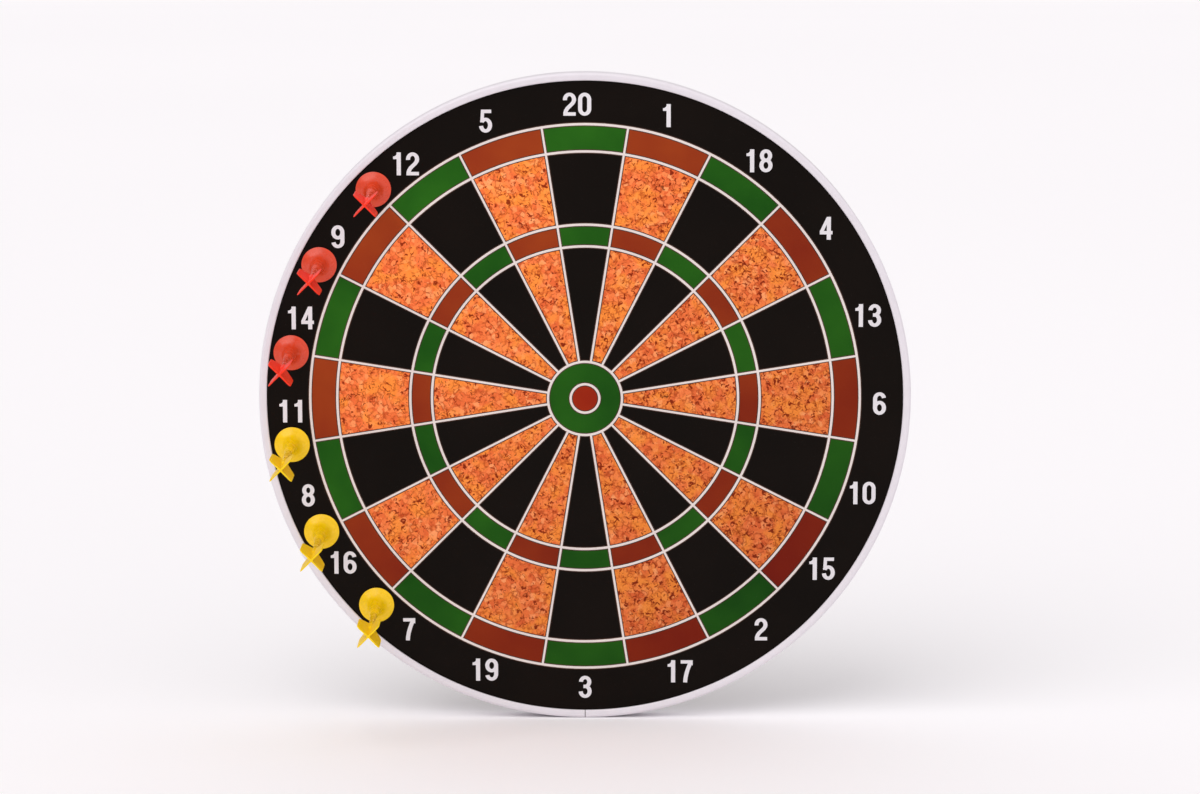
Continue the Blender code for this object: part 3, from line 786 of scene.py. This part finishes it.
def add_screws(finishes):
    low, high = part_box("hanger_screw_1")
    mesh = screw_mesh(high.y - low.y - SCREW_HEAD_HEIGHT)
    for number in (1, 2):
        node = f"hanger_screw_{number}"
        low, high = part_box(node)
        seat = Vector(((low.x + high.x) / 2, high.y - SCREW_HEAD_HEIGHT, (low.z + high.z) / 2))
        turn = Matrix.Rotation(math.radians(25 + 50 * number), 4, "Z")
        place = Matrix.Translation(seat) @ TO_WALL @ turn
        piece(f"pan_head_{number}", mesh, finishes["zinc_steel"], "board", "zinc_steel", node, matrix=place)


def wire_path():
    """The ring's middle line as (x, y, way outwards): its bar lies along x and its round end at +y."""
    half = RING_HALF_WIDTH
    arcs = (
        ((RING_CORNER - half, RING_CORNER), RING_CORNER, 180, 270, 8),
        ((half - RING_CORNER, RING_CORNER), RING_CORNER, 270, 360, 8),
        ((0, RING_LEG), half, 0, 180, 32),
    )
    path = []
    for centre, radius, first, last, steps in arcs:
        for step, (x, y) in enumerate(arc(centre, radius, first, last, steps)):
            path.append((x, y, math.radians(first + (last - first) * step / steps)))
    return path


def add_ring(finishes):
    bm = bmesh.new()
    sections = []
    for x, y, outwards in wire_path():
        section = []
        for step in range(WIRE_SEGMENTS):
            angle = 2 * math.pi * step / WIRE_SEGMENTS
            out = WIRE_RADIUS * math.cos(angle)
            section.append((
                x + out * math.cos(outwards),
                y + out * math.sin(outwards),
                WIRE_RADIUS * math.sin(angle),
            ))
        sections.append(section)
    loft(bm, sections, closed=True)
    mesh = finished_mesh("wire_ring", bm)
    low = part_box("hanger_ring")[0]
    bar_y = low.y + WIRE_RADIUS + (RING_HALF_WIDTH + RING_LEG) * math.sin(RING_LEAN)
    bar_z = low.z + WIRE_RADIUS
    lean = Matrix.Rotation(math.pi / 2 + RING_LEAN, 4, "X")
    place = Matrix.Translation((0, bar_y, bar_z)) @ lean
    piece("wire_ring", mesh, finishes["zinc_steel"], "ring", "zinc_steel", "hanger_ring", matrix=place)


def strap_path(middle, near_leaf, far_leaf):
    """The folded strap's middle line as (x, y, way it faces): up one leaf, round the bar, down the other."""
    bend = STRAP_BEND
    drop = math.sqrt((LOOP_MIDDLE + bend) ** 2 - (far_leaf + bend - middle) ** 2)
    meeting = math.degrees(math.atan2(-drop, far_leaf + bend - middle))
    path = [(near_leaf, -STRAP_LENGTH, math.pi), (near_leaf, -STRAP_LENGTH / 2, math.pi)]
    for step in range(LOOP_STEPS + 1):
        angle = math.radians(180 + (meeting - 180) * step / LOOP_STEPS)
        path.append((middle + LOOP_MIDDLE * math.cos(angle), LOOP_MIDDLE * math.sin(angle), angle))
    for step in range(1, BEND_STEPS + 1):
        angle = math.radians(meeting + 180 - meeting * step / BEND_STEPS)
        x = far_leaf + bend + bend * math.cos(angle)
        path.append((x, -drop + bend * math.sin(angle), angle - math.pi))
    path.append((far_leaf, -STRAP_LENGTH, 0.0))
    return path


def strap_section(path, half_thickness, across):
    """The sheet's outline at one place across the strap."""
    outer = [(x + half_thickness * math.cos(a), y + half_thickness * math.sin(a)) for x, y, a in path]
    inner = [(x - half_thickness * math.cos(a), y - half_thickness * math.sin(a)) for x, y, a in path]
    return [(x, y, across) for x, y in outer + inner[::-1]]


def add_strap(finishes):
    """One strip of sheet, folded round the ring's bar, with two holes for the screws."""
    low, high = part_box("hanger_strap")
    back = low.y
    middle = LOOP_MIDDLE + STRAP_SHEET / 2
    path = strap_path(middle, 0.5 * STRAP_SHEET, 1.5 * STRAP_SHEET)
    half_width = (high.x - low.x) / 2
    half = STRAP_SHEET / 2 - STRAP_THINNING
    edge = STRAP_EDGE
    bm = bmesh.new()
    loft(bm, [
        strap_section(path, half - edge, -half_width),
        strap_section(path, half, edge - half_width),
        strap_section(path, half, half_width - edge),
        strap_section(path, half - edge, half_width),
    ])
    bar_z = high.z - LOOP_MIDDLE - STRAP_SHEET / 2
    holes = bmesh.new()
    for number in (1, 2):
        screw_low, screw_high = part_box(f"hanger_screw_{number}")
        drop = (screw_low.z + screw_high.z) / 2 - bar_z
        ring = circle(SCREW_RADIUS + HOLE_PLAY, 0, 24)
        loft(holes, [[(x, drop + b, a) for a, b, _ in ring] for x in (-MM, 4 * MM)])
    mesh = cut("folded_strap", finished_mesh("strap", bm), finished_mesh("holes", holes))
    place = Matrix(((0, 0, 1, 0), (1, 0, 0, back), (0, 1, 0, bar_z), (0, 0, 0, 1)))
    piece("folded_strap", mesh, finishes["zinc_steel"], "board", "zinc_steel", "hanger_strap", matrix=place)


def dress_cad_nodes(finishes):
    """The layers inside the rim keep their CAD shape and get their materials."""
    layers = {"steel_sheet": "sheet_steel", "core_board": "fibreboard", "back_sheet": "backing_card"}
    for node, finish in layers.items():
        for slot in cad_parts[node].material_slots:
            slot.material = finishes[finish]


# ---------------- darts

DART_LENGTH = 99.75 * MM  # to the vanes' rear edge, if it ran straight out to the corner
CUP_RADIUS = 10.8 * MM
CUP_LIP = 0.9 * MM
CUP_EDGE = 0.6 * MM
FLARE_LENGTH = 2.9 * MM
FLARE_END = 15 * MM
STEM_STATIONS = ((0, 3.8 * MM), (24 * MM, 2.95 * MM), (36 * MM, 2.15 * MM), (65 * MM, 1.3 * MM))
GRIP_START = 25 * MM
GRIP_PITCH = 2.4 * MM
GRIP_RINGS = 4
GRIP_HEIGHT = 0.2 * MM
POCKET_RADIUS = 5.55 * MM
POCKET_DEPTH = 3.0 * MM
POCKET_EDGE = 0.25 * MM
PARTING_HEIGHT = 0.07 * MM
PARTING_DEGREES = 1.2
PARTING_FADE = 4 * MM  # the length behind the cup's lip in which it comes up
BARREL_STEP = 5  # degrees
FLIGHT_START = 65 * MM
JOINT_GAP = 0.3 * MM  # between barrel and flight, before the shoulder and past the pin
VANE_REACH = 9.35 * MM
VANE_TAPER = 10.5 * MM
VANE_STEP = 0.25 * MM  # how far the vanes stand out of the socket where they start
SHOULDER_CUT = 0.45 * MM  # how far the corner between the vanes' taper and their sides is cut back
SHOULDER_LENGTH = 3 * MM
SHOULDER_START = 0.8  # of the taper
VANE_CORNER = 3 * MM
VANE_NOTCH = 2.2 * MM
NOTCH_LENGTH = 9 * MM
VANE_ROOT = 0.45 * MM  # half thicknesses
VANE_TIP = 0.33 * MM
SOCKET_RADIUS = 1.95 * MM
SOCKET_LENGTH = 14 * MM
SOCKET_FADE = 3 * MM  # the length in which the socket narrows to the hub
SOCKET_BORE = 1.3 * MM
HUB_RADIUS = 0.9 * MM
PIN_RADIUS = 1.0 * MM
PIN_LENGTH = 11 * MM
VANE_ANGLE = math.radians(45)


def stem_radius(distance):
    for (near, near_radius), (far, far_radius) in zip(STEM_STATIONS, STEM_STATIONS[1:]):
        if distance <= far:
            share = (distance - near) / (far - near)
            return near_radius + share * (far_radius - near_radius)
    return STEM_STATIONS[-1][1]


def barrel_radius(distance):
    """The outside of the trumpet, stem and grip rings, at a distance from the cup's face."""
    flare = (CUP_RADIUS - stem_radius(CUP_LIP)) * math.exp((CUP_LIP - distance) / FLARE_LENGTH)
    grip = (distance - GRIP_START) / GRIP_PITCH
    wave = -math.cos(2 * math.pi * grip) if 0 < grip < GRIP_RINGS else 0
    return stem_radius(distance) + flare + wave * GRIP_HEIGHT


def barrel_ring(radius, distance, parting):
    """A ring of points round the stem, with the mould's parting line standing up on two sides."""
    points = []
    for side in (0, 180):
        degrees = [(-PARTING_DEGREES, 0), (0, PARTING_HEIGHT), (PARTING_DEGREES, 0)]
        degrees += [(step, 0) for step in range(BARREL_STEP, 180, BARREL_STEP)]
        for degree, lift in degrees:
            angle = math.radians(side + degree)
            reach = radius + lift * parting
            points.append((reach * math.cos(angle), reach * math.sin(angle), distance))
    return points


def barrel_mesh():
    """The cup with its magnet pocket, the stem, the grip rings and the pin that the flight is pushed onto."""
    shoulder = FLIGHT_START - JOINT_GAP
    rings = [  # (radius, distance, how much of the parting line), first the pocket and its edge
        (0.3 * MM, POCKET_DEPTH, 0),
        (POCKET_RADIUS, POCKET_DEPTH, 0),
        (POCKET_RADIUS, POCKET_EDGE, 0),
        (POCKET_RADIUS + 0.08 * MM, 0.08 * MM, 0),
        (POCKET_RADIUS + POCKET_EDGE, 0, 0),
        # the cup's face and its rounded lip
        (CUP_RADIUS - CUP_EDGE - 0.3 * MM, 0, 0),
        (CUP_RADIUS - CUP_EDGE + 0.1 * MM, 0.1 * MM, 0),
        (CUP_RADIUS - 0.12 * MM, 0.45 * MM, 0),
        (CUP_RADIUS, 0.75 * MM, 0),
    ]
    distance = CUP_LIP
    while distance < FLARE_END:
        rings.append((barrel_radius(distance), distance, min(1, (distance - CUP_LIP) / PARTING_FADE)))
        distance += 0.25 * MM + 0.06 * (distance - CUP_LIP)
    distance = FLARE_END
    while distance < shoulder - MM:
        rings.append((barrel_radius(distance), distance, 1))
        near_grip = GRIP_START - MM < distance < GRIP_START + (GRIP_RINGS + 0.5) * GRIP_PITCH
        distance += 0.3 * MM if near_grip else 2 * MM
    rings += [  # the shoulder that the flight stops at, and the pin
        (barrel_radius(shoulder), shoulder - 0.3 * MM, 1),
        (barrel_radius(shoulder) - 0.12 * MM, shoulder, 0),
        (PIN_RADIUS, shoulder, 0),
        (PIN_RADIUS, FLIGHT_START + PIN_LENGTH - 0.3 * MM, 0),
        (PIN_RADIUS - 0.3 * MM, FLIGHT_START + PIN_LENGTH, 0),
    ]
    bm = bmesh.new()
    loft(bm, [barrel_ring(*ring) for ring in rings])
    return finished_mesh("moulded_barrel", bm)


def vane_reach(distance):
    """How far the vanes reach from the axis: a taper, an eased shoulder, a straight side, a round corner."""
    taper_end = FLIGHT_START + VANE_TAPER
    start = SOCKET_RADIUS + VANE_STEP
    if distance < taper_end:
        share = (distance - FLIGHT_START) / VANE_TAPER
        eased = max(0, share - SHOULDER_START) / (1 - SHOULDER_START)
        return start + (VANE_REACH - start) * share - SHOULDER_CUT * eased
    eased = min(1, (distance - taper_end) / SHOULDER_LENGTH)
    reach = VANE_REACH - SHOULDER_CUT * (1 - eased) ** 2
    corner_start = DART_LENGTH - VANE_CORNER
    if distance > corner_start:
        depth = distance - corner_start
        reach -= VANE_CORNER - math.sqrt(max(0, VANE_CORNER**2 - depth**2))
    return reach


def vane_section(distance):
    """The crossed vanes at a distance: the section bends forward at the axis to leave the rear notch."""
    reach = vane_reach(distance)
    past_socket = (distance - FLIGHT_START - SOCKET_LENGTH + SOCKET_FADE) / SOCKET_FADE
    share = min(1, max(0, past_socket))
    hub = SOCKET_RADIUS + (HUB_RADIUS - SOCKET_RADIUS) * share * share * (3 - 2 * share)
    bend = max(0, (distance - DART_LENGTH + NOTCH_LENGTH) / NOTCH_LENGTH)
    arm = [  # (share of the way out, half thickness)
        (0.0, VANE_ROOT),
        (0.35, 0.92 * VANE_ROOT),
        (0.75, VANE_TIP),
        (0.96, VANE_TIP),
        (0.99, 0.7 * VANE_TIP),
    ]
    root = math.sqrt(hub**2 - VANE_ROOT**2)
    side = [(root + along * (reach - root), half) for along, half in arm]
    outline = [(x, -half) for x, half in side] + [(reach, 0.0)] + [(x, half) for x, half in reversed(side)]
    outline += [(hub * math.cos(math.radians(a)), hub * math.sin(math.radians(a))) for a in (37, 45, 53)]
    points = []
    for quarter in range(4):
        turn = Matrix.Rotation(quarter * math.pi / 2, 2)
        for x, y in outline:
            turned = turn @ Vector((x, y))
            notch = VANE_NOTCH * bend * (1 - min(1, turned.length / VANE_REACH))
            points.append((turned.x, turned.y, distance - notch))
    return points


def bore_section(section, distance, radius):
    """The socket's bore, with a point for each of the section's."""
    points = []
    for x, y, _ in section:
        scale = radius / math.hypot(x, y)
        points.append((x * scale, y * scale, distance))
    return points


def flight_mesh():
    """Four crossed vanes on a socket, as one moulding."""
    first = vane_section(FLIGHT_START)
    bore_end = FLIGHT_START + PIN_LENGTH + JOINT_GAP
    sections = [bore_section(first, bore_end, SOCKET_BORE), bore_section(first, FLIGHT_START, SOCKET_BORE)]
    distance = FLIGHT_START
    while distance < DART_LENGTH - VANE_CORNER:
        sections.append(vane_section(distance))
        distance += 0.75 * MM
    for degrees in range(0, 86, 10):
        along = DART_LENGTH - VANE_CORNER + VANE_CORNER * math.sin(math.radians(degrees))
        sections.append(vane_section(along))
    bm = bmesh.new()
    loft(bm, sections)
    return finished_mesh("moulded_flight", bm, 50)


def magnet_mesh(thickness, radius):
    chamfer = 0.25 * MM
    profile = [
        (0.4 * radius, 0),
        (radius - chamfer, 0),
        (radius - 0.3 * chamfer, 0.3 * chamfer),
        (radius, chamfer),
        (radius, thickness - chamfer),
        (radius - chamfer, thickness),
        (0.4 * radius, thickness),
    ]
    return turned_mesh("disc_magnet", profile, 72)


def add_darts(finishes):
    low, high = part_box("dart_1_magnet")
    barrel = barrel_mesh()
    flight = flight_mesh()
    magnet = magnet_mesh(high.y - low.y, (high.x - low.x) / 2)
    turn = Matrix.Rotation(VANE_ANGLE, 4, "Y") @ TO_FRONT
    for number in range(1, 7):
        name = f"dart_{number}"
        colour = "red" if number <= 3 else "yellow"
        low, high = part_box(f"{name}_magnet")
        middle = (low + high) / 2
        cup_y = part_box(f"{name}_barrel")[1].y
        place = Matrix.Translation((middle.x, cup_y, middle.z)) @ turn
        magnet_place = Matrix.Translation((middle.x, high.y, middle.z)) @ turn
        parts = (  # (its name, its mesh, its slot, the node that it stands for, its place)
            ("moulded_barrel", barrel, f"{colour}_barrel", "barrel", place),
            ("moulded_flight", flight, f"{colour}_flight", "flight", place),
            ("disc_magnet", magnet, "magnet", "magnet", magnet_place),
        )
        for kind, mesh, slot, node, matrix in parts:
            piece(f"{name}_{kind}", mesh, finishes[slot], name, slot, f"{name}_{node}", matrix=matrix)


# ---------------- stage

CAMERA_ELEVATION = math.radians(8.5)
CAMERA_DISTANCE = 2.6
CAMERA_LENS = 126.8  # millimetres, on a sensor 36 wide
CAMERA_ASIDE = 9.2 * MM
FLOOR_REACH = 14.0
WORLD_COLOUR = srgb(252, 249, 251)
WORLD_LIGHT = 0.47
SUN_COLOUR = (1.0, 0.99, 0.985)
SUNS = (  # name, azimuth and elevation in degrees, strength, angle across
    ("key", -35, 50, 1.3, 55),
    ("fill", 50, 40, 0.6, 80),
    ("top", 180, 60, 0.5, 90),
)


def direction(azimuth, elevation):
    """Away from the object, in degrees: azimuth 0 is in front of the face and 90 to its right."""
    a = math.radians(azimuth)
    e = math.radians(elevation)
    return Vector((math.sin(a) * math.cos(e), -math.cos(a) * math.cos(e), math.sin(e)))


def add_world():
    """A pale world that lights the object softly, and goes on where the pale floor ends."""
    world = bpy.data.worlds.new("soft_world")
    world.use_nodes = True
    nodes = world.node_tree.nodes
    links = world.node_tree.links
    light = nodes["Background"]
    light.inputs["Color"].default_value = WORLD_COLOUR
    light.inputs["Strength"].default_value = WORLD_LIGHT
    seen = nodes.new("ShaderNodeBackground")
    seen.inputs["Color"].default_value = WORLD_COLOUR
    choice = nodes.new("ShaderNodeMixShader")
    links.new(nodes.new("ShaderNodeLightPath").outputs["Is Camera Ray"], choice.inputs[0])
    links.new(light.outputs["Background"], choice.inputs[1])
    links.new(seen.outputs["Background"], choice.inputs[2])
    links.new(choice.outputs["Shader"], nodes["World Output"].inputs["Surface"])
    bpy.context.scene.world = world


def add_stage():
    """A plain pale floor, a pale world and three soft lights."""
    scene = bpy.context.scene
    bm = bmesh.new()
    bmesh.ops.create_grid(bm, x_segments=8, y_segments=8, size=FLOOR_REACH)
    mesh = bpy.data.meshes.new("floor")
    bm.to_mesh(mesh)
    bm.free()
    mesh.materials.append(floor_finish())
    floor = bpy.data.objects.new("floor", mesh)
    floor.location = (0, 0, FLOOR_Z)
    scene.collection.objects.link(floor)

    add_world()

    for name, azimuth, elevation, strength, across in SUNS:
        light = bpy.data.lights.new(name, "SUN")
        light.energy = strength
        light.angle = math.radians(across)
        light.color = SUN_COLOUR
        lamp = bpy.data.objects.new(name, light)
        lamp.rotation_mode = "QUATERNION"
        lamp.rotation_quaternion = direction(azimuth, elevation).to_track_quat("Z", "Y")
        scene.collection.objects.link(lamp)


def add_camera():
    """A long lens that looks slightly down on the board, at the photograph's angle."""
    scene = bpy.context.scene
    camera = bpy.data.cameras.new("camera")
    camera.lens = CAMERA_LENS
    camera.sensor_width = 36
    camera.clip_end = 100
    rig = bpy.data.objects.new("camera", camera)
    back = Vector((0, -math.cos(CAMERA_ELEVATION), math.sin(CAMERA_ELEVATION)))
    rig.location = CENTRE + CAMERA_DISTANCE * back + Vector((CAMERA_ASIDE, 0, 0))
    rig.rotation_mode = "QUATERNION"
    rig.rotation_quaternion = back.to_track_quat("Z", "Y")
    scene.collection.objects.link(rig)
    scene.camera = rig
    scene.view_settings.view_transform = "Standard"


def main():
    finishes = make_finishes()
    add_face(finishes)
    add_rim(finishes)
    add_bumpers(finishes)
    add_screws(finishes)
    add_strap(finishes)
    add_ring(finishes)
    dress_cad_nodes(finishes)
    add_darts(finishes)
    add_stage()
    add_camera()


main()
